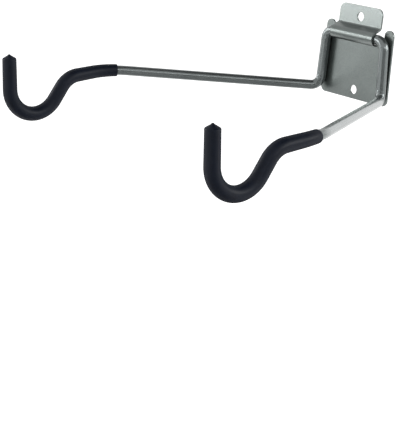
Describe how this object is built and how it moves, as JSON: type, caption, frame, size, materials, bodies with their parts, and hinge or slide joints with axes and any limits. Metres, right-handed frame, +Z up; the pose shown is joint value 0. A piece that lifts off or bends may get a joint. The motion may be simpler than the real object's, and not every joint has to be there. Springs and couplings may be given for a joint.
{
  "type": "garage utility hook",
  "caption": "Wall-mounted double-arm utility hook: a folded steel bracket holds a bent rod whose splayed arms end in upturned, vinyl-dipped hooks.",
  "frame": {"origin": "midway between the two screw holes, in the plane of the wall", "axes": "+X to the right along the crossbar, -Y out of the wall along the arms, +Z up"},
  "size_m": [0.2652, 0.2555, 0.1074],
  "materials": {
    "bracket": "silver-grey powder coat on folded steel sheet",
    "rod": "silver-grey powder coat on bent steel rod",
    "grip": "satin black dipped vinyl"
  },
  "bodies": {
    "root": {"mounting_bracket": "bracket", "bent_rod": "rod", "grip_left": "grip", "grip_right": "grip"}
  },
  "joints": []
}
